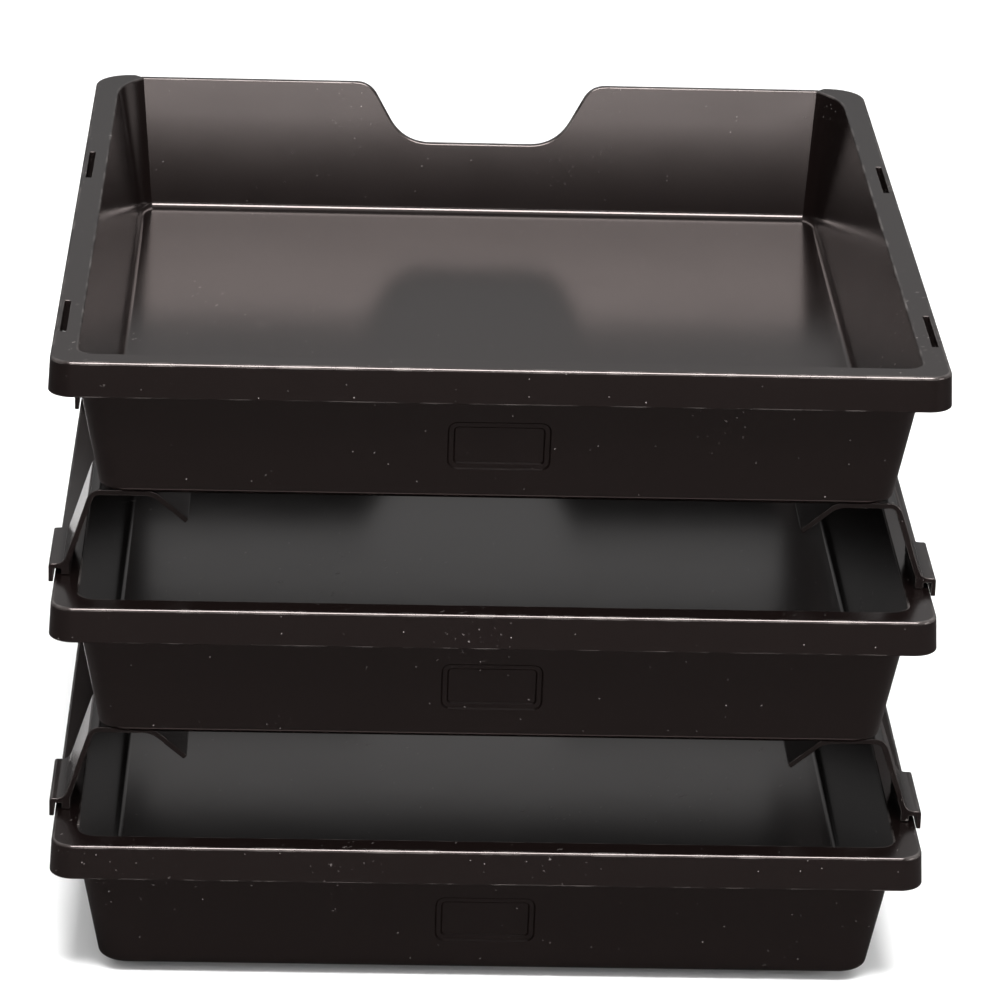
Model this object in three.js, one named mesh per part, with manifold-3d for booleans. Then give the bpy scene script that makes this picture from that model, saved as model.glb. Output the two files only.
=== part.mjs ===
// A three-tier letter tray: three identical moulded trays, each upper one standing on four clip-in risers.
// Millimetres, +Z up, the front with the name plate faces -Y, the origin is on the table under the middle.
import * as THREE from 'three';
import { mergeVertices } from 'three/addons/utils/BufferGeometryUtils.js';
import Module from 'manifold-3d';

const wasm = await Module();
wasm.setup();

// The tray. Its own frame starts at the front edge of the rim and at the underside of the floor.
const trayWidth = 310;
const trayDepth = 350;
const bodyHeight = 54;
const wallThickness = 2.1;
const floorThickness = 2.2;
const wallLean = THREE.MathUtils.degToRad(9.6);
const baseFillet = 3.6;
const cavityFillet = 2.6;
const wallFrontRadius = 9;
const wallBackRadius = 34;
const wallBackTurn = THREE.MathUtils.degToRad(46.5);
const tierCount = 3;

// The rim turns out from the wall's top edge and down into a skirt. It dies out on the back wall.
const rimOverhang = 7.2;
const rimBackOverhang = 2.5;
const rimThickness = 2;
const rimFrontRadius = 8;
const rimBackRadius = 14;
const rimEdgeRound = 1.1;
const rimInnerRound = 0.8;
const skirtHeight = 12.7;
const skirtThickness = 1.8;
const skirtFlare = 0.7;
const rimEndInset = 14.3;
const rimEndRun = 5;

// The dip in the back wall that fingers reach through
const dipHalf = 44.7;
const dipFloorHalf = 31;
const dipDepth = 24;
const dipTopRound = 6;
const dipFloorRound = 11;

// The bare name plate, two shallow steps sunk into the front wall
const plateWidth = 35.4;
const plateHeight = 18.4;
const plateCentreHeight = 21.4;
const plateCornerRadius = 3.7;
const plateFrame = 2.1;
const plateStepDepth = 0.45;

// Two low rails under the floor carry the tray
const railHeight = 4;
const railWidth = 3;
const railShelfInset = 13.4;
const railFront = 36;
const railBackInset = 18;
const railEndRound = 3;

// Slots in the side rims take the risers
const slotWidth = 2.2;
const slotLength = 33;
const slotInset = 3.2;
const slotFrontCentre = 48.8;
const slotBackCentre = 226.5;

// The riser is one bent section: flange, plate, leaning wall, shelf and sloping lip, with a tab below
const riserLength = 35.5;
const riserThickness = 2.1;
const flangeThickness = 1.65;
const flangeDrop = 2.6;
const plateRise = 4.2;
const plateThickness = 1.8;
const shelfRise = 32.4;
const riserLean = THREE.MathUtils.degToRad(18.4);
const lipLean = THREE.MathUtils.degToRad(40);
const lipLength = 16.2;
const shelfLength = 22.4;
const tabDrop = 8;
const tabLead = 0.6;
const plateRound = 1.2;
const wallRootRound = 3.2;
const shelfBendRound = 4;
const lipBendRound = 3;
const lipTipRound = 0.7;

// Clearances between separate pieces, and the overrun of every cutting solid
const seatGap = 0.3;
const sideGap = 0.25;
const flangeGap = 0.45;
const overrun = 5;

const cornerSteps = 10;
const filletSteps = 4;
const curveSteps = 5;

const rimHalf = trayWidth / 2;
const rimEndHalf = rimHalf - rimEndInset;
const wallHalf = rimHalf - rimOverhang;
const leanRun = Math.tan(wallLean);
const cavityInset = wallThickness / Math.cos(wallLean);
const tierPitch = bodyHeight + shelfRise + seatGap + railHeight;
const slotOffset = rimHalf - slotInset;
const shelfOuter = slotOffset - (shelfRise - plateRise) * Math.tan(riserLean);
const shelfBend = shelfOuter - shelfLength;
const railOffset = shelfOuter - railShelfInset;

const trayFinish = new THREE.MeshStandardMaterial({ color: 0x2a2523, roughness: 0.32, metalness: 0 });
const riserFinish = new THREE.MeshStandardMaterial({ color: 0x2d2826, roughness: 0.38, metalness: 0 });

// Points of a tray outline in plan, anticlockwise, with the same number on every outline.
// A back corner whose arc is shallower than its radius meets the straight back in a crease.
function planOutline({ half, front, back, frontRadius, backRadius, backArcDepth }) {
  const quarter = Math.PI / 2;
  const turn = Math.asin(backArcDepth / backRadius);
  const frontArc = { x: half - frontRadius, y: front + frontRadius, radius: frontRadius };
  const backArc = { x: half - backRadius, y: back - backArcDepth, radius: backRadius };
  const corners = [
    { ...frontArc, from: -quarter, sweep: quarter },
    { ...backArc, from: 0, sweep: turn },
    { ...backArc, x: -backArc.x, from: Math.PI - turn, sweep: turn },
    { ...frontArc, x: -frontArc.x, from: Math.PI, sweep: quarter },
  ];
  const points = [];
  for (const { x, y, radius, from, sweep } of corners) {
    for (let step = 0; step <= cornerSteps; step += 1) {
      const angle = from + sweep * step / cornerSteps;
      points.push([x + radius * Math.cos(angle), y + radius * Math.sin(angle)]);
    }
  }
  return points;
}

// Closed solid through a stack of rings from the lowest up, each with its plan points and its height
function loft(rings) {
  const count = rings[0].points.length;
  const positions = rings.flatMap(({ points, z }) => points.flatMap(([x, y]) => [x, y, z]));
  const faces = [];
  for (let level = 0; level + 1 < rings.length; level += 1) {
    for (let i = 0; i < count; i += 1) {
      const a = level * count + i;
      const b = level * count + (i + 1) % count;
      faces.push(a, b, b + count, a, b + count, a + count);
    }
  }
  const top = (rings.length - 1) * count;
  for (let i = 1; i + 1 < count; i += 1) {
    faces.push(0, i + 1, i);
    faces.push(top, top + i, top + i + 1);
  }
  const geometry = new THREE.BufferGeometry();
  geometry.setAttribute('position', new THREE.Float32BufferAttribute(positions, 3));
  geometry.setIndex(faces);
  return geometry;
}

// A closed three.js mesh becomes a solid that can be joined and cut
function toSolid(geometry) {
  const bare = geometry.clone();
  for (const name of Object.keys(bare.attributes)) {
    if (name !== 'position') bare.deleteAttribute(name);
  }
  const merged = mergeVertices(bare);
  return new wasm.Manifold(new wasm.Mesh({
    numProp: 3,
    vertProperties: new Float32Array(merged.attributes.position.array),
    triVerts: new Uint32Array(merged.index.array),
  }));
}

function toGeometry(solid) {
  const mesh = solid.getMesh();
  const geometry = new THREE.BufferGeometry();
  geometry.setAttribute('position', new THREE.Float32BufferAttribute(mesh.vertProperties, 3));
  geometry.setIndex([...mesh.triVerts]);
  geometry.computeVertexNormals();
  return geometry;
}

// The wall's plan, moved in by an inset from where its outer face meets the rim's top.
// The front corners keep their radius all the way down, the back corners taper round one centre.
function wallPlan(inset, thinning = 0) {
  return planOutline({
    half: wallHalf - inset,
    front: rimOverhang + inset,
    back: trayDepth - rimBackOverhang - inset,
    frontRadius: wallFrontRadius - thinning,
    backRadius: wallBackRadius - inset,
    backArcDepth: wallBackRadius * Math.sin(wallBackTurn) - inset,
  });
}

// Rings of a leaning wall that starts with a fillet on a flat bottom
function leaningRings(bottom, fillet, extraInset, thinning) {
  const touchHeight = bottom + fillet * (1 - Math.sin(wallLean));
  const touchInset = (bodyHeight - touchHeight) * leanRun + extraInset;
  const centreInset = touchInset + fillet * Math.cos(wallLean);
  const rings = [];
  for (let step = 0; step <= filletSteps; step += 1) {
    const angle = (Math.PI / 2 - wallLean) * step / filletSteps;
    const inset = centreInset - fillet * Math.sin(angle);
    rings.push({ points: wallPlan(inset, thinning), z: bottom + fillet * (1 - Math.cos(angle)) });
  }
  return rings;
}

function bodySolid() {
  const rings = leaningRings(0, baseFillet, 0, 0);
  rings.push({ points: wallPlan(0), z: bodyHeight });
  return toSolid(loft(rings));
}

// The space inside the walls, with the rounded inner edge of the rim
function cavitySolid() {
  const rings = leaningRings(floorThickness, cavityFillet, cavityInset, wallThickness);
  const roundInset = cavityInset + rimInnerRound * leanRun;
  for (let step = 0; step <= filletSteps; step += 1) {
    const angle = Math.PI / 2 * step / filletSteps;
    rings.push({
      points: wallPlan(roundInset - rimInnerRound * (1 - Math.cos(angle)), wallThickness),
      z: bodyHeight - rimInnerRound * (1 - Math.sin(angle)),
    });
  }
  const last = rings[rings.length - 1];
  rings.push({ points: last.points, z: bodyHeight + overrun });
  return toSolid(loft(rings));
}

function rimPlan(inset) {
  return planOutline({
    half: rimHalf - inset,
    front: inset,
    back: trayDepth - inset,
    frontRadius: rimFrontRadius - inset,
    backRadius: rimBackRadius - inset,
    backArcDepth: rimBackRadius - inset,
  });
}

// The rim and its skirt, still a lid over the whole tray until the cavity is cut
function rimSolid() {
  const rings = [{ points: rimPlan(-skirtFlare), z: bodyHeight - skirtHeight }];
  for (let step = 0; step <= filletSteps; step += 1) {
    const angle = Math.PI / 2 * step / filletSteps;
    rings.push({
      points: rimPlan(rimEdgeRound * (1 - Math.cos(angle))),
      z: bodyHeight - rimEdgeRound * (1 - Math.sin(angle)),
    });
  }
  return toSolid(loft(rings)).subtract(skirtHollow()).subtract(rimEnds());
}

// The space under the rim, between the skirt and the wall
function skirtHollow() {
  const flareRate = skirtFlare / (skirtHeight - rimEdgeRound);
  const mouthFlare = flareRate * (skirtHeight + overrun);
  return toSolid(loft([
    { points: rimPlan(skirtThickness - mouthFlare), z: bodyHeight - skirtHeight - overrun },
    { points: rimPlan(skirtThickness - flareRate * rimThickness), z: bodyHeight - rimThickness },
  ]));
}

// Takes the rim and skirt off the back panel, between two ends cut on the slant
function rimEnds() {
  const low = bodyHeight - skirtHeight - overrun;
  const height = skirtHeight + 2 * overrun;
  const outline = new THREE.Shape();
  outline.moveTo(rimEndRun - rimEndHalf, trayDepth - rimEndRun);
  outline.lineTo(rimEndHalf - rimEndRun, trayDepth - rimEndRun);
  outline.lineTo(rimEndHalf + overrun, trayDepth + overrun);
  outline.lineTo(-rimEndHalf - overrun, trayDepth + overrun);
  const geometry = new THREE.ExtrudeGeometry(outline, { depth: height, bevelEnabled: false });
  return toSolid(geometry.translate(0, 0, low));
}

// Extrudes an outline drawn in X and Z along Y, from one place to another
function upright(outline, from, to) {
  const geometry = new THREE.ExtrudeGeometry(outline, {
    depth: to - from,
    bevelEnabled: false,
    curveSegments: curveSteps,
  });
  return geometry.rotateX(Math.PI / 2).translate(0, to, 0);
}

// A polygon whose corners are rounded: each corner is [x, z, round]
function roundedOutline(corners) {
  const outline = new THREE.Shape();
  corners.forEach(([x, z, round], index) => {
    const corner = new THREE.Vector2(x, z);
    const before = corners[(index + corners.length - 1) % corners.length];
    const after = corners[(index + 1) % corners.length];
    const entry = new THREE.Vector2(before[0], before[1]).sub(corner).setLength(round).add(corner);
    const exit = new THREE.Vector2(after[0], after[1]).sub(corner).setLength(round).add(corner);
    if (index === 0) outline.moveTo(entry.x, entry.y);
    else outline.lineTo(entry.x, entry.y);
    if (round > 0) outline.quadraticCurveTo(corner.x, corner.y, exit.x, exit.y);
  });
  return outline;
}

function backDip() {
  const low = bodyHeight - dipDepth;
  const high = bodyHeight + overrun;
  const mouth = dipHalf + dipTopRound;
  return toSolid(upright(roundedOutline([
    [-dipFloorHalf, low, dipFloorRound],
    [dipFloorHalf, low, dipFloorRound],
    [dipHalf, bodyHeight, dipTopRound],
    [mouth + overrun, bodyHeight, 0],
    [mouth + overrun, high, 0],
    [-mouth - overrun, high, 0],
    [-mouth - overrun, bodyHeight, 0],
    [-dipHalf, bodyHeight, dipTopRound],
  ]), trayDepth - wallBackRadius, trayDepth + overrun));
}

// One step of the name plate, standing square to the leaning front wall
function plateStep(frame, depth) {
  const halfWidth = plateWidth / 2 - frame;
  const halfHeight = plateHeight / 2 - frame;
  const round = plateCornerRadius - frame;
  const geometry = new THREE.ExtrudeGeometry(roundedOutline([
    [-halfWidth, -halfHeight, round],
    [halfWidth, -halfHeight, round],
    [halfWidth, halfHeight, round],
    [-halfWidth, halfHeight, round],
  ]), { depth: depth + overrun, bevelEnabled: false, curveSegments: curveSteps });
  const face = rimOverhang + (bodyHeight - plateCentreHeight) * leanRun;
  geometry.translate(0, 0, -depth).rotateX(Math.PI / 2 + wallLean);
  return toSolid(geometry.translate(0, face, plateCentreHeight));
}

function railSolid(side) {
  const railBack = trayDepth - railBackInset;
  const outline = roundedOutline([
    [railFront, -railHeight, railEndRound],
    [railBack, -railHeight, railEndRound],
    [railBack, floorThickness / 2, 0],
    [railFront, floorThickness / 2, 0],
  ]);
  const geometry = new THREE.ExtrudeGeometry(outline, {
    depth: railWidth,
    bevelEnabled: false,
    curveSegments: curveSteps,
  });
  geometry.rotateX(Math.PI / 2).rotateZ(Math.PI / 2);
  return toSolid(geometry.translate(side * railOffset - railWidth / 2, 0, 0));
}

function slotSolid(side, centre) {
  const geometry = new THREE.BoxGeometry(slotWidth, slotLength, rimThickness + 2 * overrun);
  return toSolid(geometry.translate(side * slotOffset, centre, bodyHeight - rimThickness / 2));
}

function trayGeometry() {
  let tray = rimSolid().add(bodySolid()).subtract(cavitySolid()).subtract(backDip());
  tray = tray.subtract(plateStep(0, plateStepDepth)).subtract(plateStep(plateFrame, 2 * plateStepDepth));
  for (const side of [-1, 1]) {
    tray = tray.add(railSolid(side));
    for (const centre of [slotFrontCentre, slotBackCentre]) {
      tray = tray.subtract(slotSolid(side, centre));
    }
  }
  return toGeometry(tray);
}

// The riser's bent section, drawn for the right-hand side with its height counted from the rim's top
function riserSection() {
  const tabOuter = slotOffset + slotWidth / 2 - sideGap;
  const flangeInner = rimHalf + flangeGap;
  const flangeOuter = flangeInner + flangeThickness;
  const shelfUnder = shelfRise - riserThickness;
  const wallShift = riserThickness / Math.cos(riserLean);
  const footInner = slotOffset - wallShift;
  const shelfInner = shelfOuter + riserThickness * Math.tan(riserLean) - wallShift;
  const lipTip = new THREE.Vector2(-Math.cos(lipLean), -Math.sin(lipLean)).multiplyScalar(lipLength);
  const lipDrop = new THREE.Vector2(Math.sin(lipLean), -Math.cos(lipLean)).multiplyScalar(riserThickness);
  const tipX = shelfBend + lipTip.x;
  const tipZ = shelfRise + lipTip.y;
  return roundedOutline([
    [flangeOuter, -flangeDrop, 0],
    [flangeOuter, plateRise, plateRound],
    [slotOffset, plateRise, wallRootRound],
    [shelfOuter, shelfRise, shelfBendRound],
    [shelfBend, shelfRise, lipBendRound],
    [tipX, tipZ, lipTipRound],
    [tipX + lipDrop.x, tipZ + lipDrop.y, lipTipRound],
    [shelfBend + riserThickness * Math.tan(lipLean / 2), shelfUnder, lipBendRound],
    [shelfInner, shelfUnder, shelfBendRound - riserThickness],
    [footInner, plateRise, 0],
    [footInner, seatGap, 0],
    [tabOuter, seatGap, 0],
    [tabOuter, plateRise - plateThickness, 0],
    [flangeInner, plateRise - plateThickness, 0],
    [flangeInner, -flangeDrop, 0],
  ]);
}

// The tab that drops through the slot, a little shorter than it, with a tapered end
function tabSolid() {
  const half = slotWidth / 2 - sideGap;
  const length = slotLength - 2 * seatGap;
  const leadTop = 2 * tabLead - tabDrop;
  const outline = roundedOutline([
    [slotOffset - half + tabLead, -tabDrop, 0],
    [slotOffset + half - tabLead, -tabDrop, 0],
    [slotOffset + half, leadTop, 0],
    [slotOffset + half, plateRise / 2, 0],
    [slotOffset - half, plateRise / 2, 0],
    [slotOffset - half, leadTop, 0],
  ]);
  return toSolid(upright(outline, -length / 2, length / 2));
}

function riserGeometry() {
  const section = toSolid(upright(riserSection(), -riserLength / 2, riserLength / 2));
  return toGeometry(section.add(tabSolid()));
}

const letterTray = new THREE.Group();
const trayShape = trayGeometry();
const riserShape = riserGeometry();
const trayNames = ['bottom_tray', 'middle_tray', 'top_tray'];
const tierNames = ['lower', 'upper'];

trayNames.slice(0, tierCount).forEach((name, tier) => {
  const tray = new THREE.Mesh(trayShape, trayFinish);
  tray.name = name;
  tray.position.set(0, -trayDepth / 2, railHeight + tier * tierPitch);
  letterTray.add(tray);
});

// The eight risers are one moulding: those on the left are turned half round
tierNames.forEach((tierName, tier) => {
  const rimTop = railHeight + tier * tierPitch + bodyHeight;
  for (const [placeName, centre] of [['front', slotFrontCentre], ['rear', slotBackCentre]]) {
    for (const [sideName, turn] of [['right', 0], ['left', Math.PI]]) {
      const riser = new THREE.Mesh(riserShape, riserFinish);
      riser.name = `${tierName}_${placeName}_${sideName}_riser`;
      riser.position.set(0, centre - trayDepth / 2, rimTop);
      riser.rotation.z = turn;
      letterTray.add(riser);
    }
  }
});

export default letterTray;
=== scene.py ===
# %% [markdown]
# # A tiered letter tray
# Three identical moulded trays stand on one another. Each upper tray is carried by four risers that
# plug into slots in the rim below. The CAD parts already have the right sizes, but their curves are
# made of a few flat facets, and glossy black plastic shows every facet. So this lesson builds each
# piece again in Blender with fine, soft edges, in the very same places, and gives it a finish.

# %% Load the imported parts
import math

import bmesh
import bpy
from mathutils import Matrix, Vector


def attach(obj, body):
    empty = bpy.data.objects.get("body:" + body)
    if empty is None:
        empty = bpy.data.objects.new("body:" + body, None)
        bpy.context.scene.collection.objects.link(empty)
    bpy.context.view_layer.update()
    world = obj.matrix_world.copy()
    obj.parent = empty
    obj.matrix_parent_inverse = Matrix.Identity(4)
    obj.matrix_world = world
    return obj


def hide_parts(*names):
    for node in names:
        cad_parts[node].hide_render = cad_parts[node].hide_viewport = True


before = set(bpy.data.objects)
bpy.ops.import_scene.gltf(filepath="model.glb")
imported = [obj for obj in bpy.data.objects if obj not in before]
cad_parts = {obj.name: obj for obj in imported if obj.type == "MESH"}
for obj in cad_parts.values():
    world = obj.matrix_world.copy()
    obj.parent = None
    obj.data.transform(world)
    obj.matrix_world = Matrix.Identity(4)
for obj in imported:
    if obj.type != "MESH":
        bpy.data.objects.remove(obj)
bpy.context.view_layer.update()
scene = bpy.context.scene

# %% [markdown]
# ## The camera
# The product photo was taken with a long lens, a little to the left of the middle and from above.
# The edges of the three rims fix the camera: it looks down by 21 degrees and leans by less than two.
# A camera can be aimed with a constraint, but the lean would be lost. Here its three axes are worked
# out and written into its matrix, so nothing depends on a target object.

# %% Place the camera
CAMERA_PLACE = Vector((-0.0590, -1.8149, 0.8209))
CAMERA_YAW, CAMERA_PITCH, CAMERA_LEAN = 0.03618, 0.36609, 0.03028
LENS_MM, SENSOR_MM = 183.33, 36
FAR_CLIP = 50


def camera_axes(yaw, pitch, lean):
    """The camera's right, up and forward directions."""
    flat = math.cos(pitch)
    forward = Vector((math.sin(yaw) * flat, math.cos(yaw) * flat, -math.sin(pitch)))
    level = Vector((math.cos(yaw), -math.sin(yaw), 0))
    upright = level.cross(forward)
    right = math.cos(lean) * level + math.sin(lean) * upright
    return right, math.cos(lean) * upright - math.sin(lean) * level, forward


right, up, forward = camera_axes(CAMERA_YAW, CAMERA_PITCH, CAMERA_LEAN)
camera = bpy.data.objects.new("camera", bpy.data.cameras.new("camera"))
scene.collection.objects.link(camera)
camera.data.sensor_fit = "HORIZONTAL"
camera.data.sensor_width = SENSOR_MM
camera.data.lens = LENS_MM
camera.data.clip_end = FAR_CLIP
camera.matrix_world = Matrix((right, up, -forward)).transposed().to_4x4()
camera.location = CAMERA_PLACE
scene.camera = camera
print("camera at", camera.location.to_tuple(3), "looking", forward.to_tuple(3))

# %% [markdown]
# ## Outlines seen from above
# Every level of a tray, from its base to its rim, is a rectangle with rounded corners. If all of
# these outlines have the same number of points, in the same order, they can be skinned one to the
# next. The two back corners are special: their arc stops short of a quarter turn and meets the flat
# back panel in a crease. Sizes are in millimetres, as on a drawing, and become metres at the end.

# %% The tray's sizes and its outlines
TRAY_WIDTH, TRAY_DEPTH, BODY_HEIGHT = 310, 350, 54
WALL, FLOOR = 2.1, 2.2
LEAN = math.tan(math.radians(9.6))
RIM_OVERHANG, RIM_BACK_OVERHANG = 7.2, 2.5
WALL_FRONT_RADIUS, WALL_BACK_RADIUS, WALL_BACK_TURN = 9, 34, math.radians(46.5)
RIM_FRONT_RADIUS, RIM_BACK_RADIUS = 8, 14
CORNER_POINTS = 20


def arc_points(centre, radius, start, sweep, count=CORNER_POINTS):
    x, y = centre
    angles = [start + sweep * i / count for i in range(count + 1)]
    return [(x + radius * math.cos(a), y + radius * math.sin(a)) for a in angles]


def tray_outline(half, front, back, front_radius, back_radius, back_arc_depth):
    """A rectangle's outline with round corners. The back arcs end at back_arc_depth, in a crease."""
    quarter = math.pi / 2
    turn = math.asin(min(1, back_arc_depth / back_radius))
    front_x, front_y = half - front_radius, front + front_radius
    back_x, back_y = half - back_radius, back - back_arc_depth
    return (arc_points((front_x, front_y), front_radius, -quarter, quarter)
            + arc_points((back_x, back_y), back_radius, 0, turn)
            + arc_points((-back_x, back_y), back_radius, math.pi - turn, turn)
            + arc_points((-front_x, front_y), front_radius, math.pi, quarter))


def wall_outline(inset, thinning=0):
    """The wall's outline, moved in from where its outer face meets the top of the rim."""
    return tray_outline(
        TRAY_WIDTH / 2 - RIM_OVERHANG - inset, RIM_OVERHANG + inset,
        TRAY_DEPTH - RIM_BACK_OVERHANG - inset, WALL_FRONT_RADIUS - thinning,
        WALL_BACK_RADIUS - inset, WALL_BACK_RADIUS * math.sin(WALL_BACK_TURN) - inset)


def rim_outline(inset):
    """The rim's outline, moved in from its widest place."""
    back_radius = RIM_BACK_RADIUS - inset
    return tray_outline(TRAY_WIDTH / 2 - inset, inset, TRAY_DEPTH - inset,
                        RIM_FRONT_RADIUS - inset, back_radius, back_radius)


print("points on each outline:", len(rim_outline(0)))

# %% [markdown]
# ## Skinning the outlines
# A loft joins each outline to the next one up with a band of quads, and closes the two ends with one
# flat face each. Where two surfaces should flow into each other, a quarter circle of extra levels
# makes the soft edge. This is better than a bevel added afterwards, because every soft edge has
# exactly the radius that was asked for, and the bands stay clean for smooth shading.

# %% Helpers for lofts and rounded edges
MM = 0.001
EDGE_STEPS = 6


def loft(levels, name):
    """A closed mesh through levels, each a list of 3-D points in millimetres."""
    mesh = bpy.data.meshes.new(name)
    work = bmesh.new()
    loops = [[work.verts.new(Vector(p) * MM) for p in points] for points in levels]
    count = len(loops[0])
    for low, high in zip(loops, loops[1:]):
        for i in range(count):
            j = (i + 1) % count
            work.faces.new((low[i], low[j], high[j], high[i]))
    work.faces.new(loops[0][::-1])
    work.faces.new(loops[-1])
    bmesh.ops.recalc_face_normals(work, faces=work.faces)
    work.to_mesh(mesh)
    work.free()
    return mesh


def at_height(outline, z):
    return [(x, y, z) for x, y in outline]


def quarter_steps(count=EDGE_STEPS):
    """Pairs (1 - cos, sin) that walk along a quarter circle."""
    angles = [math.pi / 2 * i / count for i in range(count + 1)]
    return [(1 - math.cos(a), math.sin(a)) for a in angles]


print("a soft edge has", EDGE_STEPS, "bands")

# %% [markdown]
# ## Joining and cutting
# The tray is a sum of simple solids: a body, a lid that becomes the rim, and cutters. Blender's
# boolean modifier joins and cuts them. Its Manifold solver is fast and exact for closed meshes.
# The modifier is applied by asking for the evaluated mesh, so that the finished piece is plain
# geometry that anyone can edit.

# %% A helper for booleans
def boolean(base, other, operation):
    """base joined with, or cut by, other. Both are meshes, and the result is a new mesh."""
    holder = bpy.data.objects.new("work", base)
    tool = bpy.data.objects.new("tool", other)
    for thing in (holder, tool):
        scene.collection.objects.link(thing)
    modifier = holder.modifiers.new("boolean", "BOOLEAN")
    modifier.operation = operation
    modifier.object = tool
    modifier.solver = "MANIFOLD"
    bpy.context.view_layer.update()
    evaluated = holder.evaluated_get(bpy.context.evaluated_depsgraph_get())
    result = bpy.data.meshes.new_from_object(evaluated)
    for thing in (holder, tool):
        bpy.data.objects.remove(thing)
    return result


print("solver for joins and cuts: MANIFOLD")

# %% [markdown]
# ## The tray's body
# The body is a solid block with leaning sides and a rounded foot. Its sides lean out by 9.6 degrees,
# as on any moulding that has to come out of its tool. The inside is cut out of it later.

# %% Body
FOOT_ROUND, FOOT_STEPS = 3.6, 10
TOP_ROUND = 0.5


def leaning_levels(bottom, radius, extra_inset, thinning):
    """Levels of a leaning wall that starts with a rounded foot on a flat bottom."""
    lean = math.atan(LEAN)
    touch = bottom + radius * (1 - math.sin(lean))
    centre = (BODY_HEIGHT - touch) * LEAN + extra_inset + radius * math.cos(lean)
    levels = []
    for i in range(FOOT_STEPS + 1):
        angle = (math.pi / 2 - lean) * i / FOOT_STEPS
        outline = wall_outline(centre - radius * math.sin(angle), thinning)
        levels.append(at_height(outline, bottom + radius * (1 - math.cos(angle))))
    return levels


def body_mesh():
    levels = leaning_levels(0, FOOT_ROUND, extra_inset=0, thinning=0)
    for inward, along in quarter_steps():
        inset = TOP_ROUND * (LEAN + inward)
        levels.append(at_height(wall_outline(inset), BODY_HEIGHT - TOP_ROUND * (1 - along)))
    return loft(levels, "tray_body")


body = body_mesh()
print("body faces:", len(body.polygons))

# %% [markdown]
# ## The rim and its skirt
# The rim turns outwards from the wall and then down into a skirt, which makes the thin wall stiff
# and gives the fingers something to hold. It is lofted as a lid with rounded edges. The skirt flares
# a little as it goes down, so each level has its own inset.

# %% Rim
RIM_THICKNESS, SKIRT_THICKNESS = 2.0, 1.8
SKIRT_HEIGHT, SKIRT_FLARE = 12.7, 0.7
RIM_ROUND, SKIRT_FOOT_ROUND = 1.1, 0.55
SKIRT_FOOT = BODY_HEIGHT - SKIRT_HEIGHT
FLARE_RATE = SKIRT_FLARE / (SKIRT_HEIGHT - RIM_ROUND)


def skirt_inset(z):
    """How far the skirt's outer face lies inside the rim's outline. It is negative, for the flare."""
    return -FLARE_RATE * (BODY_HEIGHT - RIM_ROUND - z)


def rim_mesh():
    levels = []
    for inward, along in reversed(quarter_steps()):
        z = SKIRT_FOOT + SKIRT_FOOT_ROUND * inward
        levels.append(at_height(rim_outline(skirt_inset(z) + SKIRT_FOOT_ROUND * (1 - along)), z))
    levels.reverse()
    for inward, along in quarter_steps():
        outline = rim_outline(RIM_ROUND * inward)
        levels.append(at_height(outline, BODY_HEIGHT - RIM_ROUND * (1 - along)))
    return loft(levels, "tray_rim")


rim = rim_mesh()
print("rim faces:", len(rim.polygons))

# %% [markdown]
# The lid is solid so far. Two cutters turn it into a rim: one takes out the hollow under it, and the
# other ends it on the back panel in two slanting faces. Every cutter runs a few millimetres past what
# it cuts, so that no two faces lie in one plane. Then the rim and the body become one solid.

# %% The hollow under the rim, and its ends
HOLLOW_ROUND = 1
RIM_END_HALF, RIM_END_RUN = 140.7, 5
OVERRUN, MARGIN = 5, 1


def skirt_hollow_mesh():
    mouth = SKIRT_FOOT + SKIRT_FOOT_ROUND
    lip = SKIRT_THICKNESS + skirt_inset(mouth)
    levels = [at_height(rim_outline(lip - SKIRT_FOOT_ROUND), SKIRT_FOOT - OVERRUN)]
    for inward, along in quarter_steps():
        z = mouth - SKIRT_FOOT_ROUND * (1 - inward)
        levels.append(at_height(rim_outline(lip - SKIRT_FOOT_ROUND * (1 - along)), z))
    roof = BODY_HEIGHT - RIM_THICKNESS
    inner = SKIRT_THICKNESS + skirt_inset(roof)
    for inward, along in quarter_steps():
        outline = rim_outline(inner + HOLLOW_ROUND * inward)
        levels.append(at_height(outline, roof - HOLLOW_ROUND * (1 - along)))
    return loft(levels, "skirt_hollow")


def rim_ends_mesh():
    start, reach = RIM_END_HALF - RIM_END_RUN, RIM_END_HALF + OVERRUN
    near, far = TRAY_DEPTH - RIM_END_RUN, TRAY_DEPTH + OVERRUN
    outline = [(-start, near), (start, near), (reach, far), (-reach, far)]
    heights = (SKIRT_FOOT - OVERRUN, BODY_HEIGHT + OVERRUN)
    return loft([at_height(outline, z) for z in heights], "rim_ends")


rim = boolean(rim, skirt_hollow_mesh(), "DIFFERENCE")
rim = boolean(rim, rim_ends_mesh(), "DIFFERENCE")
shell = boolean(rim, body, "UNION")
print("rim and body joined:", len(shell.polygons), "faces")

# %% [markdown]
# Seen from the front, no light comes through the slots in the side rims. A thin moulded rib closes
# the hollow under the rim just behind each slot, so that the slots read black. The ribs reach into
# the wall and into the skirt, and the part that stands inside the tray goes away with the next cut.

# %% Ribs behind the slots
SLOT_WIDTH, SLOT_LENGTH, SLOT_INSET = 2.2, 33, 3.2
SLOT_CENTRES = (48.8, 226.5)
RIB_GAP, RIB_THICKNESS, RIB_RISE = 0.5, 1.2, 1


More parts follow.
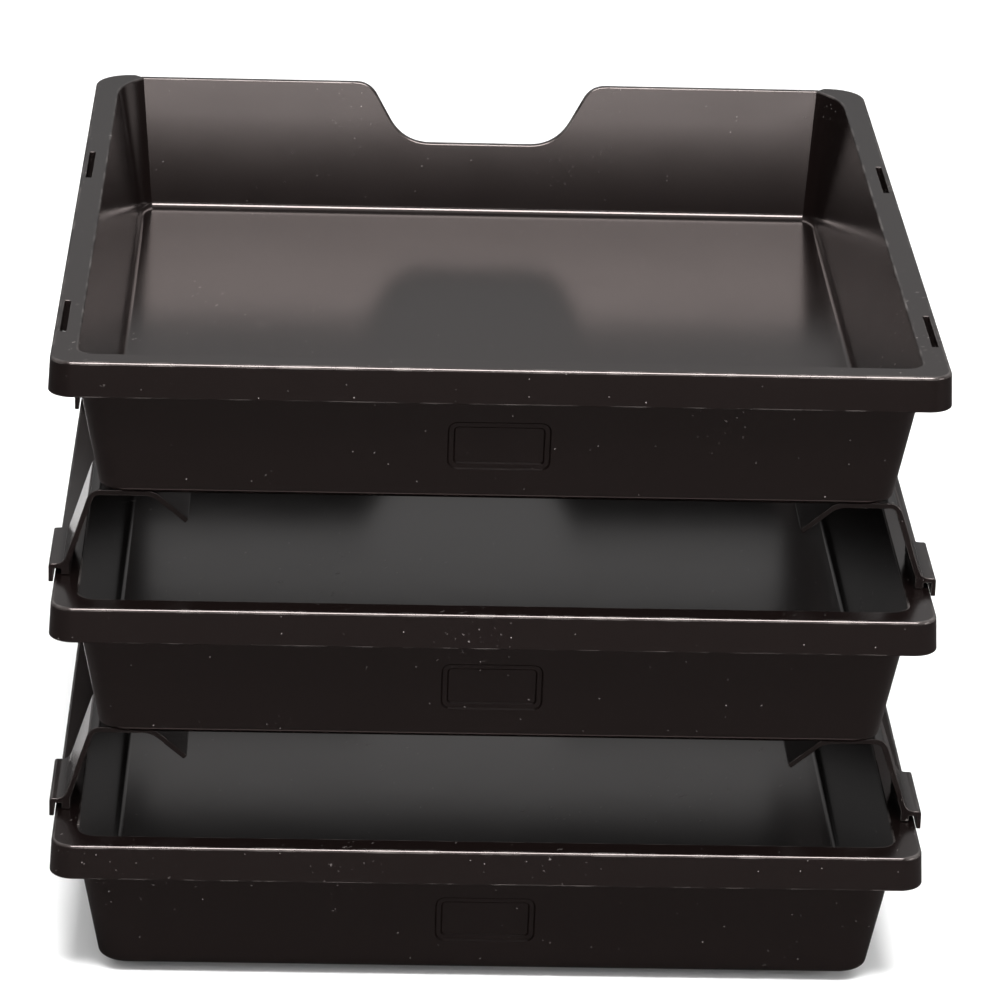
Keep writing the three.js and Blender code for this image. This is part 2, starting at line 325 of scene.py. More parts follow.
def rib_mesh(side, centre):
    near = centre + SLOT_LENGTH / 2 + RIB_GAP
    far = near + RIB_THICKNESS
    inner = TRAY_WIDTH / 2 - RIM_OVERHANG - SKIRT_HEIGHT * LEAN - WALL / 2
    outer = TRAY_WIDTH / 2 - SKIRT_THICKNESS / 2 + SKIRT_FLARE / 2
    left, right = sorted((side * inner, side * outer))
    outline = [(left, near), (right, near), (right, far), (left, far)]
    heights = (SKIRT_FOOT + RIB_RISE, BODY_HEIGHT - RIM_THICKNESS / 2)
    return loft([at_height(outline, z) for z in heights], "rib")


for side in (-1, 1):
    for centre in SLOT_CENTRES:
        shell = boolean(shell, rib_mesh(side, centre), "UNION")
print("with the ribs:", len(shell.polygons), "faces")

# %% [markdown]
# ## The inside
# One cutter takes out the inside. It is the body again, one wall thickness smaller, with its own
# rounded foot, and it flares at the top so that the rim's inner edge comes out soft.

# %% Inside
INSIDE_FOOT_ROUND, INSIDE_EDGE_ROUND = 2.6, 0.8
INSIDE_INSET = WALL / math.cos(math.atan(LEAN))


def inside_mesh():
    levels = leaning_levels(FLOOR, INSIDE_FOOT_ROUND, INSIDE_INSET, WALL)
    start = INSIDE_INSET + INSIDE_EDGE_ROUND * LEAN
    for inward, along in quarter_steps():
        outline = wall_outline(start - INSIDE_EDGE_ROUND * inward, WALL)
        levels.append(at_height(outline, BODY_HEIGHT - INSIDE_EDGE_ROUND * (1 - along)))
    levels.append(at_height(wall_outline(start - INSIDE_EDGE_ROUND, WALL), BODY_HEIGHT + OVERRUN))
    return loft(levels, "inside")


shell = boolean(shell, inside_mesh(), "DIFFERENCE")
print("hollow tray:", len(shell.polygons), "faces")

# %% [markdown]
# ## Cutters with soft mouths
# A plain cutter leaves knife edges, and a knife edge catches no light. A cutter that widens by a
# quarter circle where it passes through a face leaves a rounded edge behind. The same helper makes
# the outline for the dip, the name plate and the slots: a polygon whose corners are rounded, and
# which can be grown or shrunk by a small amount.

# %% Rounded polygons that can grow
SHARPEST = 0.3
CORNER_STEPS = 10


def rounded_polygon(corners, steps=CORNER_STEPS):
    """Points of a polygon with rounded corners. Each corner is (x, y, length of the round)."""
    points = []
    for i, (x, y, size) in enumerate(corners):
        corner = Vector((x, y))
        if size == 0:
            points.append(corner)
            continue
        before, after = Vector(corners[i - 1][:2]), Vector(corners[(i + 1) % len(corners)][:2])
        entry = corner + (before - corner).normalized() * size
        leave = corner + (after - corner).normalized() * size
        for step in range(steps + 1):
            t = step / steps
            points.append((1 - t) ** 2 * entry + 2 * t * (1 - t) * corner + t ** 2 * leave)
    return points


def grown(points, amount):
    """The anticlockwise polygon with every side moved out by amount, very sharp corners by less."""
    result = []
    for i, point in enumerate(points):
        before, after = points[i - 1], points[(i + 1) % len(points)]
        one, two = (point - before).normalized(), (after - point).normalized()
        out_one, out_two = Vector((one.y, -one.x)), Vector((two.y, -two.x))
        middle = (out_one + out_two).normalized()
        result.append(point + middle * (amount / max(SHARPEST, middle.dot(out_one))))
    return result


square = rounded_polygon([(0, 0, 0), (2, 0, 0), (2, 2, 0), (0, 2, 0)])
print("a square of 2 grown by 1:", [p.to_tuple(2) for p in grown(square, 1)])

# %% [markdown]
# ## The dip in the back panel
# Fingers reach through a dip in the back panel and push forward what lies in the tray. The panel
# leans, so each outline of the cutter is sheared to follow it: a point's depth depends on its height.

# %% Dip
DIP_HALF, DIP_FLOOR_HALF, DIP_DEPTH = 44.7, 31, 24
DIP_TOP_ROUND, DIP_FLOOR_ROUND, DIP_REACH = 6, 11, 20


def dip_mesh():
    low, high = BODY_HEIGHT - DIP_DEPTH, BODY_HEIGHT + OVERRUN
    mouth = DIP_HALF + DIP_TOP_ROUND + MARGIN
    outline = rounded_polygon([
        (-DIP_FLOOR_HALF, low, DIP_FLOOR_ROUND), (DIP_FLOOR_HALF, low, DIP_FLOOR_ROUND),
        (DIP_HALF, BODY_HEIGHT, DIP_TOP_ROUND), (mouth, BODY_HEIGHT, 0), (mouth, high, 0),
        (-mouth, high, 0), (-mouth, BODY_HEIGHT, 0), (-DIP_HALF, BODY_HEIGHT, DIP_TOP_ROUND)])
    sections = [(-INSIDE_INSET - DIP_REACH, INSIDE_EDGE_ROUND)]
    sections += [(-INSIDE_INSET + INSIDE_EDGE_ROUND * inward, INSIDE_EDGE_ROUND * (1 - along))
                 for inward, along in quarter_steps()]
    sections += [(-TOP_ROUND * (1 - along), TOP_ROUND * inward) for inward, along in quarter_steps()]
    sections.append((OVERRUN, TOP_ROUND))
    panel = TRAY_DEPTH - RIM_BACK_OVERHANG
    levels = [[(p.x, panel - (BODY_HEIGHT - p.y) * LEAN + depth, p.y) for p in grown(outline, grow)]
              for depth, grow in sections]
    return loft(levels, "dip")


shell = boolean(shell, dip_mesh(), "DIFFERENCE")
print("with the dip:", len(shell.polygons), "faces")

# %% [markdown]
# ## The bare name plate
# The front wall has a small plate sunk into it in two shallow steps. It stands square to the leaning
# wall, so its cutters are built flat and then turned and moved onto the wall.

# %% Name plate
PLATE_WIDTH, PLATE_HEIGHT, PLATE_CENTRE = 35.4, 18.4, 21.4
PLATE_CORNER, PLATE_FRAME, PLATE_STEP = 3.7, 2.1, 0.45
PLATE_EDGE, PLATE_EDGE_STEPS = 0.3, 3


def plate_mesh(border, depth):
    w, h, r = PLATE_WIDTH / 2 - border, PLATE_HEIGHT / 2 - border, PLATE_CORNER - border
    outline = rounded_polygon([(-w, -h, r), (w, -h, r), (w, h, r), (-w, h, r)])
    wall_y = RIM_OVERHANG + (BODY_HEIGHT - PLATE_CENTRE) * LEAN
    place = Matrix.Translation((0, wall_y, PLATE_CENTRE))
    place = place @ Matrix.Rotation(math.pi / 2 + math.atan(LEAN), 4, "X")
    steps, start = quarter_steps(PLATE_EDGE_STEPS), -(depth - PLATE_STEP)
    sections = [(-depth + PLATE_EDGE * inward, -PLATE_EDGE * (1 - along)) for inward, along in steps]
    sections += [(start - PLATE_EDGE * (1 - along), PLATE_EDGE * inward) for inward, along in steps]
    sections.append((OVERRUN, PLATE_EDGE))
    return loft([[place @ Vector((p.x, p.y, height)) for p in grown(outline, grow)]
                 for height, grow in sections], "plate")


shell = boolean(shell, plate_mesh(0, PLATE_STEP), "DIFFERENCE")
shell = boolean(shell, plate_mesh(PLATE_FRAME, 2 * PLATE_STEP), "DIFFERENCE")
print("with the name plate:", len(shell.polygons), "faces")

# %% [markdown]
# ## Slots and rails
# Four slots in the side rims take the risers. Two low rails under the floor carry the tray, on a
# desk or on the shelves of the risers below. The rails can't be seen from the camera.

# %% Slots and rails
RAIL_HEIGHT, RAIL_WIDTH, RAIL_OFFSET = 4, 3, 129
RAIL_FRONT, RAIL_BACK, RAIL_END = 36, 332, 3
SLOT_EDGE, SLOT_CORNER, SLOT_STEPS = 0.3, 0.4, 3


def slot_mesh(side, centre):
    middle, half = side * (TRAY_WIDTH / 2 - SLOT_INSET), SLOT_WIDTH / 2
    left, right = middle - half, middle + half
    near, far = centre - SLOT_LENGTH / 2, centre + SLOT_LENGTH / 2
    corners = [(left, near), (right, near), (right, far), (left, far)]
    outline = rounded_polygon([(x, y, SLOT_CORNER) for x, y in corners], SLOT_STEPS)
    levels = [at_height(outline, BODY_HEIGHT - RIM_THICKNESS - MARGIN)]
    for inward, along in quarter_steps(SLOT_STEPS):
        wider = grown(outline, SLOT_EDGE * inward)
        levels.append(at_height(wider, BODY_HEIGHT - SLOT_EDGE * (1 - along)))
    levels.append(at_height(grown(outline, SLOT_EDGE), BODY_HEIGHT + OVERRUN))
    return loft(levels, "slot")


def rail_mesh(side):
    profile = rounded_polygon([
        (RAIL_FRONT, -RAIL_HEIGHT, RAIL_END), (RAIL_BACK, -RAIL_HEIGHT, RAIL_END),
        (RAIL_BACK, FLOOR / 2, 0), (RAIL_FRONT, FLOOR / 2, 0)])
    low, high = side * RAIL_OFFSET - RAIL_WIDTH / 2, side * RAIL_OFFSET + RAIL_WIDTH / 2
    return loft([[(x, p.x, p.y) for p in profile] for x in (low, high)], "rail")


for side in (-1, 1):
    for centre in SLOT_CENTRES:
        shell = boolean(shell, slot_mesh(side, centre), "DIFFERENCE")
    shell = boolean(shell, rail_mesh(side), "UNION")
print("finished tray:", len(shell.polygons), "faces")

# %% [markdown]
# ## Smooth shading that keeps flats flat
# With plain smooth shading, the big flat faces would look dented near their soft edges, because
# each corner averages the faces around it. Weighted normals let the large faces win. Edges sharper
# than 32 degrees stay crisp. The narrow faces of each outward round are marked with a number: those
# edges rub against hands and desks, and the finish will use it for wear. A second mark sits on the
# steps of the name plate, where the finish paints shade: less shine, so that a dark line like a
# shadow runs round the plate. The marks sit on faces, not on points, or else they would bleed
# across the large faces next to them.

# %% Shading and the marks for wear and for painted shade on the plate steps
SHARP_ANGLE, ROUND_ANGLE = math.radians(32), math.radians(9)
NARROW = 0.35 * MM
MERGE_DISTANCE = 1e-7


def in_a_round(face):
    """True for a narrow face that bends away from its neighbour along one of its long sides."""
    length = max(edge.calc_length() for edge in face.edges)
    long_sides = [edge for edge in face.edges if edge.calc_length() > length / 2]
    bends = [ROUND_ANGLE < edge.calc_face_angle_signed(0) < SHARP_ANGLE for edge in long_sides]
    return face.calc_area() < NARROW * length and any(bends)


def on_plate_step(face):
    """True for the faces between the levels of the sunk name plate."""
    x, y, z = face.calc_center_median() / MM
    half_width, half_height = PLATE_WIDTH / 2 + MARGIN, PLATE_HEIGHT / 2 + MARGIN
    if abs(x) > half_width or abs(z - PLATE_CENTRE) > half_height or y > TRAY_DEPTH / 2:
        return False
    return face.normal.angle(Vector((0, -1, -LEAN))) > ROUND_ANGLE


def finish_mesh(mesh):
    work = bmesh.new()
    work.from_mesh(mesh)
    bmesh.ops.remove_doubles(work, verts=work.verts, dist=MERGE_DISTANCE)
    bmesh.ops.dissolve_degenerate(work, edges=work.edges, dist=MERGE_DISTANCE)
    worn, painted_shade = (work.faces.layers.float.new(name) for name in ("worn_edge", "painted_shade_step"))
    for face in work.faces:
        face.smooth = True
        # This mark is for painted shade: the finish takes the shine off these plate steps so they
        # read as shadow.
        face[painted_shade] = float(on_plate_step(face))
        face[worn] = float(in_a_round(face)) * (1 - face[painted_shade])
    for edge in work.edges:
        edge.smooth = abs(edge.calc_face_angle_signed(0)) < SHARP_ANGLE
    report = {"open edges": sum(len(edge.link_faces) != 2 for edge in work.edges),
              "worn faces": sum(face[worn] > 0 for face in work.faces),
              "dull faces": sum(face[painted_shade] > 0 for face in work.faces)}
    work.to_mesh(mesh)
    work.free()
    return report


print("tray:", finish_mesh(shell))

# %% [markdown]
# ## The risers
# A riser is one bent strip: a flange outside the skirt, a foot on the rim, a leaning wall, a shelf
# for the tray above, and a lip that slopes down into the tray. All eight are the same moulding. The
# strip is drawn once as a closed section and lofted along its length, with its two ends rounded.

# %% Riser section
RISER_LENGTH, RISER_THICKNESS = 35.5, 2.1
FLANGE_THICKNESS, FLANGE_DROP = 1.65, 2.6
FLANGE_CORNER, FLANGE_BEND, HOLLOW_CORNER, TIP_CORNER = 0.45, 1.2, 0.4, 0.7
FOOT_BEND, SHELF_CORNER, SHELF_INNER_CORNER, LIP_BEND = 3.2, 4, 1.9, 3
FOOT_RISE, FOOT_THICKNESS = 4.2, 1.8
SHELF_RISE, SHELF_LENGTH = 32.4, 22.4
RISER_LEAN, LIP_LEAN, LIP_LENGTH = math.radians(18.4), math.radians(40), 16.2
TAB_DROP, TAB_LEAD = 8, 0.6
SEAT_GAP, SIDE_GAP, FLANGE_GAP = 0.3, 0.25, 0.45
SECTION_STEPS = 8
SLOT_X = TRAY_WIDTH / 2 - SLOT_INSET
SHELF_OUTER = SLOT_X - (SHELF_RISE - FOOT_RISE) * math.tan(RISER_LEAN)
SHELF_BEND = SHELF_OUTER - SHELF_LENGTH


def riser_outline():
    """The section for the right-hand side, with heights counted from the top of the rim."""
    tab_outer = SLOT_X + SLOT_WIDTH / 2 - SIDE_GAP
    flange_inner = TRAY_WIDTH / 2 + FLANGE_GAP
    flange_outer = flange_inner + FLANGE_THICKNESS
    under = SHELF_RISE - RISER_THICKNESS
    shift = RISER_THICKNESS / math.cos(RISER_LEAN)
    foot_inner = SLOT_X - shift
    shelf_inner = SHELF_OUTER + RISER_THICKNESS * math.tan(RISER_LEAN) - shift
    across, down = math.cos(LIP_LEAN), math.sin(LIP_LEAN)
    tip_x, tip_z = SHELF_BEND - across * LIP_LENGTH, SHELF_RISE - down * LIP_LENGTH
    under_bend = SHELF_BEND + RISER_THICKNESS * math.tan(LIP_LEAN / 2)
    foot_under = FOOT_RISE - FOOT_THICKNESS
    return rounded_polygon([
        (flange_outer, -FLANGE_DROP, FLANGE_CORNER), (flange_outer, FOOT_RISE, FLANGE_BEND),
        (SLOT_X, FOOT_RISE, FOOT_BEND), (SHELF_OUTER, SHELF_RISE, SHELF_CORNER),
        (SHELF_BEND, SHELF_RISE, LIP_BEND), (tip_x, tip_z, TIP_CORNER),
        (tip_x + down * RISER_THICKNESS, tip_z - across * RISER_THICKNESS, TIP_CORNER),
        (under_bend, under, LIP_BEND), (shelf_inner, under, SHELF_INNER_CORNER),
        (foot_inner, FOOT_RISE, 0),
        (foot_inner, SEAT_GAP, FLANGE_CORNER), (tab_outer, SEAT_GAP, FLANGE_CORNER),
        (tab_outer, foot_under, HOLLOW_CORNER), (flange_inner, foot_under, HOLLOW_CORNER),
        (flange_inner, -FLANGE_DROP, FLANGE_CORNER)], SECTION_STEPS)


section = riser_outline()
print("points on the riser's section:", len(section))

# %% [markdown]
# The loft runs along the riser's length. Close to each end, the section shrinks by a quarter circle,
# which rounds the end's edges. It may not shrink by more than the tightest outward corner's radius,
# or else its outline would cross itself. The tab that drops through the slot is a small solid joined
# on.

# %% Riser mesh
END_ROUND, END_STEPS = 0.3, 3


def riser_mesh():
    half = RISER_LENGTH / 2
    stations = [(-half + END_ROUND * inward, -END_ROUND * (1 - along))
                for inward, along in quarter_steps(END_STEPS)]
    stations += [(-y, grow) for y, grow in reversed(stations)]
    strip = loft([[(p.x, y, p.y) for p in grown(section, grow)] for y, grow in stations], "riser")
    left, right = SLOT_X - SLOT_WIDTH / 2 + SIDE_GAP, SLOT_X + SLOT_WIDTH / 2 - SIDE_GAP
    narrowing, top = 2 * TAB_LEAD - TAB_DROP, FOOT_RISE / 2
    tab = [(left + TAB_LEAD, -TAB_DROP), (right - TAB_LEAD, -TAB_DROP), (right, narrowing),
           (right, top), (left, top), (left, narrowing)]
    reach = SLOT_LENGTH / 2 - SEAT_GAP
    tab_solid = loft([[(x, y, z) for x, z in tab] for y in (-reach, reach)], "tab")
    return boolean(strip, tab_solid, "UNION")


riser = riser_mesh()
print("riser faces:", len(riser.polygons), finish_mesh(riser))

# %% [markdown]
# ## The plastic
# The trays are moulded in a warm black plastic with a satin gloss. Up close it is not perfect: the
# gloss is uneven, fine rubbing has left short light scratches, dust sticks to it in pale specks, and
# the outer edges are a little rubbed and greyed. Each of these is one small group of nodes.

# %% Node helpers
def new_material(name):
    material = bpy.data.materials.new(name)
    material.use_nodes = True
    nodes = material.node_tree.nodes
    return material, nodes, material.node_tree.links, nodes["Principled BSDF"]


def add(nodes, kind, **settings):
    """A new node. A setting is a property of the node or, with spaces for underscores, an input."""
    node = nodes.new(kind)
    for key, value in settings.items():
        if hasattr(node, key):
            setattr(node, key, value)
        else:
            node.inputs[key.replace("_", " ")].default_value = value
    return node


def ramp(nodes, stops):
    """A colour ramp of grey levels. Each stop is (position, level)."""
    node = nodes.new("ShaderNodeValToRGB")
    ends = node.color_ramp.elements
    while len(ends) < len(stops):
        ends.new(0.5)
    for element, (position, level) in zip(ends, stops):
        element.position = position
        element.color = (level, level, level, 1)
    return node


def combine(nodes, links, operation, one, two):
    node = add(nodes, "ShaderNodeMath", operation=operation)
    links.new(one, node.inputs[0])
    links.new(two, node.inputs[1])
    return node.outputs[0]


print("node helpers:", [f.__name__ for f in (new_material, add, ramp, combine)])

# %% [markdown]
# The gloss of a moulding drifts a little from place to place, and its faces are never quite flat.
# Both are kept very weak: on a black plastic a strong drift shows as ugly clouds in the reflections.

# %% Gloss and waviness
def uneven_gloss(nodes, links, here, low, high):
    clouds = add(nodes, "ShaderNodeTexNoise", Scale=55.0, Detail=4.0, Roughness=0.6)
    gloss = add(nodes, "ShaderNodeMapRange", From_Min=0.3, From_Max=0.7, To_Min=low, To_Max=high)
    links.new(here, clouds.inputs["Vector"])
    links.new(clouds.outputs["Fac"], gloss.inputs["Value"])
    return gloss.outputs["Result"]


def wavy_normal(nodes, links, here):
    waves = add(nodes, "ShaderNodeTexNoise", Scale=17.0, Detail=1.0)
    grain = add(nodes, "ShaderNodeTexNoise", Scale=1500.0, Detail=2.0)
    wave_bump = add(nodes, "ShaderNodeBump", Strength=0.06, Distance=0.002)
    grain_bump = add(nodes, "ShaderNodeBump", Strength=0.025, Distance=0.0002)
    links.new(here, waves.inputs["Vector"])
    links.new(here, grain.inputs["Vector"])
    links.new(waves.outputs["Fac"], wave_bump.inputs["Height"])
    links.new(grain.outputs["Fac"], grain_bump.inputs["Height"])
    links.new(wave_bump.outputs["Normal"], grain_bump.inputs["Normal"])
    return grain_bump.outputs["Normal"]


print("gloss and waviness ready")

# %% [markdown]
# Dust sticks to the plastic in pale specks. They are the middles of a few cells of a Voronoi pattern:
# one ramp keeps what is close to a cell's middle, the other picks some cells by their random colour.
# Scratches are a noise that is stretched a lot in one direction, cut off high and kept to patches.

# %% Specks and scratches
def dust_specks(nodes, links, here):
    cells = add(nodes, "ShaderNodeTexVoronoi", Scale=400.0)
    spot = ramp(nodes, [(0.05, 1), (0.1, 0)])
    pick = ramp(nodes, [(0.87, 0), (1, 1)])
    split = nodes.new("ShaderNodeSeparateColor")
    links.new(here, cells.inputs["Vector"])
    links.new(cells.outputs["Distance"], spot.inputs["Fac"])
    links.new(cells.outputs["Color"], split.inputs["Color"])
    links.new(split.outputs["Red"], pick.inputs["Fac"])
    return combine(nodes, links, "MULTIPLY", spot.outputs["Color"], pick.outputs["Color"])


def fine_scratches(nodes, links, here):
    stretch = add(nodes, "ShaderNodeMapping", vector_type="TEXTURE",
                  Scale=(0.017, 0.0011, 0.0014), Rotation=(0.2, 0.3, 0.8))
    streaks = add(nodes, "ShaderNodeTexNoise", Scale=1.0, Detail=2.0, Roughness=0.5)
    patches = add(nodes, "ShaderNodeTexNoise", Scale=14.0, Detail=2.0)
    streak_cut, patch_cut = ramp(nodes, [(0.7, 0), (0.76, 1)]), ramp(nodes, [(0.5, 0), (0.66, 1)])
    links.new(here, stretch.inputs["Vector"])
    links.new(stretch.outputs["Vector"], streaks.inputs["Vector"])
    links.new(here, patches.inputs["Vector"])
    links.new(streaks.outputs["Fac"], streak_cut.inputs["Fac"])
    links.new(patches.outputs["Fac"], patch_cut.inputs["Fac"])
    return combine(nodes, links, "MULTIPLY", streak_cut.outputs["Color"], patch_cut.outputs["Color"])


print("specks and scratches ready")

# %% [markdown]
# The edges that bend outwards were marked on the mesh. A noise breaks the mark up, because no edge
# wears evenly along its length.

# %% Worn edges
def worn_edges(nodes, links, here):
    mark = add(nodes, "ShaderNodeAttribute", attribute_name="worn_edge")
    rubbing = add(nodes, "ShaderNodeTexNoise", Scale=95.0, Detail=5.0)
    rub_cut = ramp(nodes, [(0.45, 0), (0.7, 0.3)])
    links.new(here, rubbing.inputs["Vector"])
    links.new(rubbing.outputs["Fac"], rub_cut.inputs["Fac"])
    return combine(nodes, links, "MULTIPLY", mark.outputs["Fac"], rub_cut.outputs["Color"])


print("worn edges follow the attribute worn_edge")

# %% [markdown]
# Object coordinates place the marks, so they stay on the plastic when it moves. The trays share one
# mesh, and so do the risers, and marks in the same places on all of them would look copied. Each
# object has a random number of its own, which shifts the pattern.

# %% Mixing colours, and a place for each object's marks
SHIFT = (7, 5, 3)


def mixed(nodes, links, factor, under, over):
    """Two colours mixed. The lower one is a colour or another node's output."""
    node = add(nodes, "ShaderNodeMix", data_type="RGBA")
    node.inputs["B"].default_value = (*over, 1)
    links.new(factor, node.inputs["Factor"])
    if isinstance(under, tuple):
        node.inputs["A"].default_value = (*under, 1)
    else:
        links.new(under, node.inputs["A"])
    return node.outputs["Result"]


def own_place(nodes, links):
    """Object coordinates, shifted along by up to a few metres by the object's own random number."""
    place, info = nodes.new("ShaderNodeTexCoord"), nodes.new("ShaderNodeObjectInfo")
    moved = add(nodes, "ShaderNodeVectorMath", operation="MULTIPLY_ADD")
    moved.inputs[1].default_value = SHIFT
    links.new(info.outputs["Random"], moved.inputs[0])
    links.new(place.outputs["Object"], moved.inputs[2])
    return moved.outputs[0]


print("each object's marks are shifted by its random number times", SHIFT)

# %% [markdown]
# Now the finish is put together. Scratches and worn edges turn the black greyer and rougher, specks
# lie on top of everything. On the steps of the name plate the shine is turned down: this is painted
# shade, a dark line round the plate that stands in for the shadow in its recess.

# %% Plastic
GREYED, DUST = (0.11, 0.1, 0.095), (0.24, 0.22, 0.21)
MARK_ROUGHNESS = 0.18
# The loss of shine on the name plate's steps is painted shade: it darkens them like the shadow in a
# recess.
SHINE, PAINTED_SHADE_LOSS = 0.5, 0.45
PLASTIC_IOR, WARM_SHEEN = 1.5, (1, 0.87, 0.84)


def painted_shade_steps(nodes, links):
    """How shiny the plastic is: less on the steps of the name plate, where shade is painted in."""
    mark = add(nodes, "ShaderNodeAttribute", attribute_name="painted_shade_step")
    level = add(nodes, "ShaderNodeMath", operation="MULTIPLY_ADD")
    level.inputs[1].default_value, level.inputs[2].default_value = -PAINTED_SHADE_LOSS, SHINE
    links.new(mark.outputs["Fac"], level.inputs[0])
    return level.outputs[0]


def black_plastic(name, colour, gloss_low, gloss_high):
    """The finish of a moulding. The two gloss values are its lowest and highest roughness."""
    material, nodes, links, shader = new_material(name)
    here = own_place(nodes, links)
    worn, scratched = worn_edges(nodes, links, here), fine_scratches(nodes, links, here)
    marks = combine(nodes, links, "MAXIMUM", worn, scratched)
    greyed = mixed(nodes, links, marks, colour, GREYED)
    dusty = mixed(nodes, links, dust_specks(nodes, links, here), greyed, DUST)
    rougher = add(nodes, "ShaderNodeMath", operation="MULTIPLY_ADD")
    rougher.inputs[1].default_value = MARK_ROUGHNESS
    links.new(marks, rougher.inputs[0])
    links.new(uneven_gloss(nodes, links, here, gloss_low, gloss_high), rougher.inputs[2])
    links.new(dusty, shader.inputs["Base Color"])
    # Painted shade: the name plate's steps lose most of their shine and read as a dark, shadowed
    # line.
    links.new(painted_shade_steps(nodes, links), shader.inputs["Specular IOR Level"])
    links.new(rougher.outputs[0], shader.inputs["Roughness"])
    links.new(wavy_normal(nodes, links, here), shader.inputs["Normal"])
    shader.inputs["IOR"].default_value = PLASTIC_IOR
    shader.inputs["Specular Tint"].default_value = (*WARM_SHEEN, 1)
    return material


tray_plastic = black_plastic("warm_black_tray", (0.0023, 0.0014, 0.0013), 0.175, 0.19)
riser_plastic = black_plastic("warm_black_riser", (0.003, 0.0019, 0.0018), 0.15, 0.165)
print("plastics:", tray_plastic.name, riser_plastic.name)

# %% [markdown]
# ## Setting out the pieces
# The three trays share one mesh and the eight risers another. Each piece stands for one CAD part and
# rides on that part's body, so the stack can be taken apart in the poses. The left-hand risers are
# the right-hand ones turned half round.

# %% Place trays and risers
TIER_PITCH = BODY_HEIGHT + SHELF_RISE + SEAT_GAP + RAIL_HEIGHT
TIER_PLACES = {"bottom_tray": 0, "middle_tray": 1, "top_tray": 2}


def set_out(mesh, name, node, body_name, place, finish, turn=0.0):
    piece = bpy.data.objects.new(name, mesh)
    scene.collection.objects.link(piece)
    mesh.materials.clear()
    mesh.materials.append(finish)
    piece.location = Vector(place) * MM
    piece.rotation_euler = (0, 0, turn)
    weighted = piece.modifiers.new("flat_faces_stay_flat", "WEIGHTED_NORMAL")
    weighted.keep_sharp = True
    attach(piece, body_name)
    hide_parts(node)


for node, tier in TIER_PLACES.items():
    place = (0, -TRAY_DEPTH / 2, RAIL_HEIGHT + tier * TIER_PITCH)
    set_out(shell, node + "_moulding", node, node, place, tray_plastic)

for tier, tier_name in enumerate(("lower", "upper")):
    top = RAIL_HEIGHT + tier * TIER_PITCH + BODY_HEIGHT
    for place_name, centre in zip(("front", "rear"), SLOT_CENTRES):
        for side_name, turn in (("right", 0), ("left", math.pi)):
            node = f"{tier_name}_{place_name}_{side_name}_riser"
            set_out(riser, node + "_moulding", node, f"{tier_name}_risers",
                    (0, centre - TRAY_DEPTH / 2, top), riser_plastic, turn)

# %% [markdown]
# ## The floor
# The stack stands on a plain pale floor, like a sheet of studio paper. Its tone drifts by one or two
# hundredths, because a perfectly even colour looks drawn. The floor is a prop and no part of the
# object.

# %% Floor
TONE_DRIFT = 0.985
FLOOR_REACH = 6


def plain_surface(name, colour, roughness):
    """One matt colour with a faint drift in tone."""
    material, nodes, links, shader = new_material(name)
    tone = add(nodes, "ShaderNodeTexNoise", Scale=3.0, Detail=2.0)
    darker = tuple(channel * TONE_DRIFT for channel in colour)
    links.new(mixed(nodes, links, tone.outputs["Fac"], darker, colour), shader.inputs["Base Color"])
    shader.inputs["Roughness"].default_value = roughness
    return material


def flat_sheet(name, low, high, finish):
    """A lying or upright rectangle between two opposite corners."""
    corners = [low, (high[0], low[1], low[2]), high, (low[0], high[1], high[2])]
    mesh = bpy.data.meshes.new(name)
    mesh.from_pydata(corners, [], [(0, 1, 2, 3)])
    mesh.materials.append(finish)
    sheet = bpy.data.objects.new(name, mesh)
    scene.collection.objects.link(sheet)
    return sheet


pale_floor = plain_surface("pale_floor", (0.9, 0.9, 0.9), 0.8)
flat_sheet("floor", (-FLOOR_REACH, -FLOOR_REACH, 0), (FLOOR_REACH, FLOOR_REACH, 0), pale_floor)
print("floor:", pale_floor.name, 2 * FLOOR_REACH, "metres wide")

# %% [markdown]
# ## The light
# Black gloss plastic is seen by what it reflects, so the light is planned by angles. The camera looks
# down by 21 degrees, and a flat top shows whatever stands 21 degrees high behind the trays. A front
# wall shows the floor in front of them. So the room is bright overhead and dim near the horizon.

# %% Room
ROOM_LEVELS = [(0, 0.13), (0.12, 0.16), (0.36, 0.28), (0.6, 0.8), (1, 1)]
ROOM_STRENGTH = 1.45


def room_light(levels, strength):
    """A white room. Its levels say how bright it is at each height, from level 0 to overhead 1."""
    world = bpy.data.worlds.new("studio")
    world.use_nodes = True
    nodes, links = world.node_tree.nodes, world.node_tree.links
    direction, split = nodes.new("ShaderNodeTexCoord"), nodes.new("ShaderNodeSeparateXYZ")
    shades = ramp(nodes, levels)
    links.new(direction.outputs["Generated"], split.inputs["Vector"])
    links.new(split.outputs["Z"], shades.inputs["Fac"])
    links.new(shades.outputs["Color"], nodes["Background"].inputs["Color"])
    nodes["Background"].inputs["Strength"].default_value = strength
    return world


scene.world = room_light(ROOM_LEVELS, ROOM_STRENGTH)
print("room:", scene.world.name)

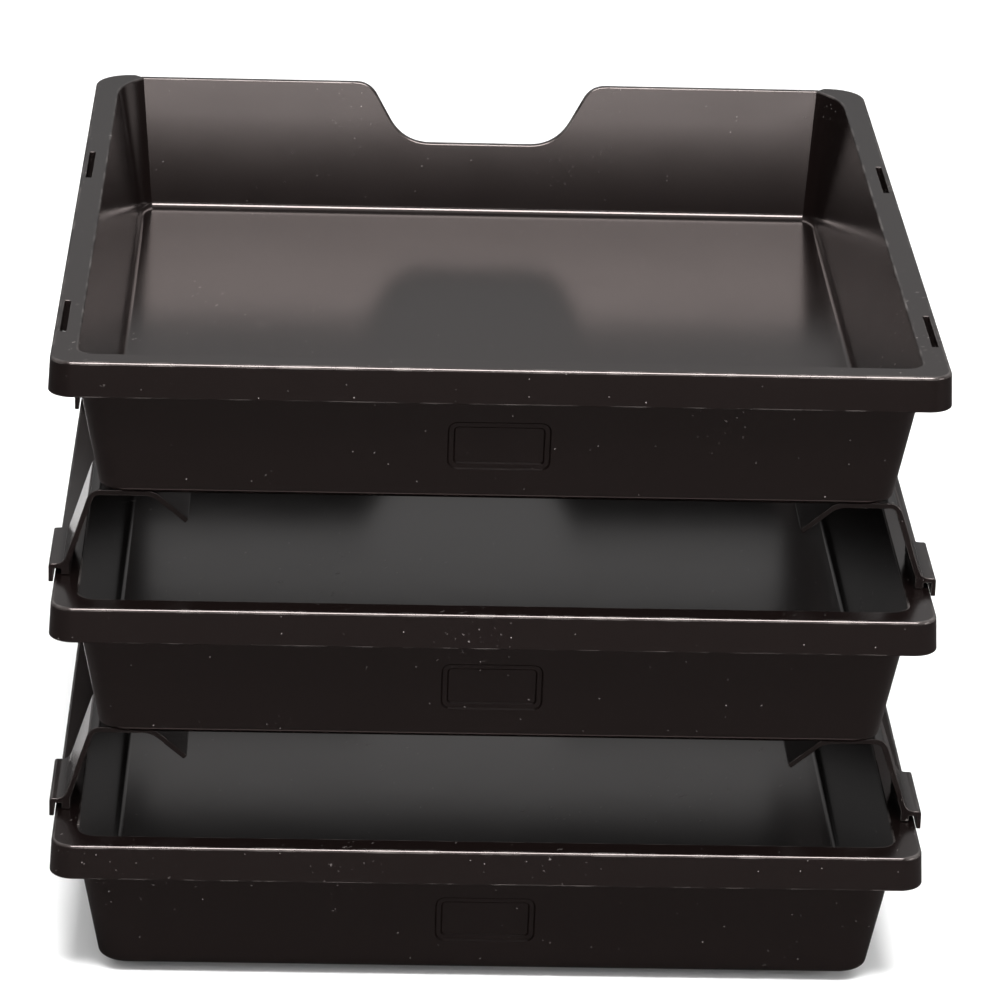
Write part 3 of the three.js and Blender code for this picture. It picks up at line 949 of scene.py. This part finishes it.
# %% [markdown]
# Three lamps do the rest. A soft one overhead in front draws the bright line along each rim's front
# edge. A low one in front lights the inside of the back panels, and one at the right their corners. A
# dark card lies on the floor, seen only in reflections, as photographers do it: without it the front
# walls would mirror a white floor. Two small paler cards on it give the left risers' leaning walls
# their light strips, and two upright dark flags behind the stack keep the lower rims dark.

# %% Lamps and cards
def soft_light(name, place, target, size, power):
    """A rectangular lamp at place, turned towards target. The power is in watts."""
    light = bpy.data.lights.new(name, "AREA")
    light.shape = "RECTANGLE"
    light.size, light.size_y = size
    light.energy = power
    lamp = bpy.data.objects.new(name, light)
    scene.collection.objects.link(lamp)
    lamp.location = place
    lamp.rotation_euler = (Vector(target) - Vector(place)).to_track_quat("-Z", "Y").to_euler()


LAMPS = {"key": ((0.03, -0.55, 1.0), (0.03, -0.175, 0.2), (0.7, 0.45), 34),
         "front": ((0.0, -3.0, 0.58), (0, 0, 0.2), (1.3, 0.45), 14.5),
         "side": ((2.6, -1.5, 0.82), (0, 0.1, 0.2), (1.2, 0.9), 36)}
for name, (place, target, size, power) in LAMPS.items():
    soft_light(name, place, target, size, power)

felt = plain_surface("dark_felt", (0.035, 0.03, 0.029), 0.9)
paper = plain_surface("pale_paper", (0.5, 0.49, 0.49), 0.9)
CARDS = {"dark_floor_card": ((-2.5, -4.0, 0.001), (2.5, 4.5, 0.001), felt),
         "upper_strip_card": ((-0.34, 0.33, 0.002), (-0.22, 0.62, 0.002), paper),
         "lower_strip_card": ((-0.235, 0.06, 0.002), (-0.19, 0.22, 0.002), paper),
         "left_flag": ((-0.2, 0.2, 0.1), (-0.135, 0.2, 0.245), felt),
         "right_flag": ((0.135, 0.2, 0.1), (0.2, 0.2, 0.245), felt)}
for name, (low, high, finish) in CARDS.items():
    card = flat_sheet(name, low, high, finish)
    card.visible_camera = card.visible_diffuse = card.visible_shadow = False
scene.view_settings.view_transform = "Standard"
print("lamps:", list(LAMPS), "and cards:", list(CARDS))

# %% [markdown]
# ## The end
# The new pieces must fill the same box as the CAD parts. The view layer is brought up to date.

# %% The end
bpy.context.view_layer.update()
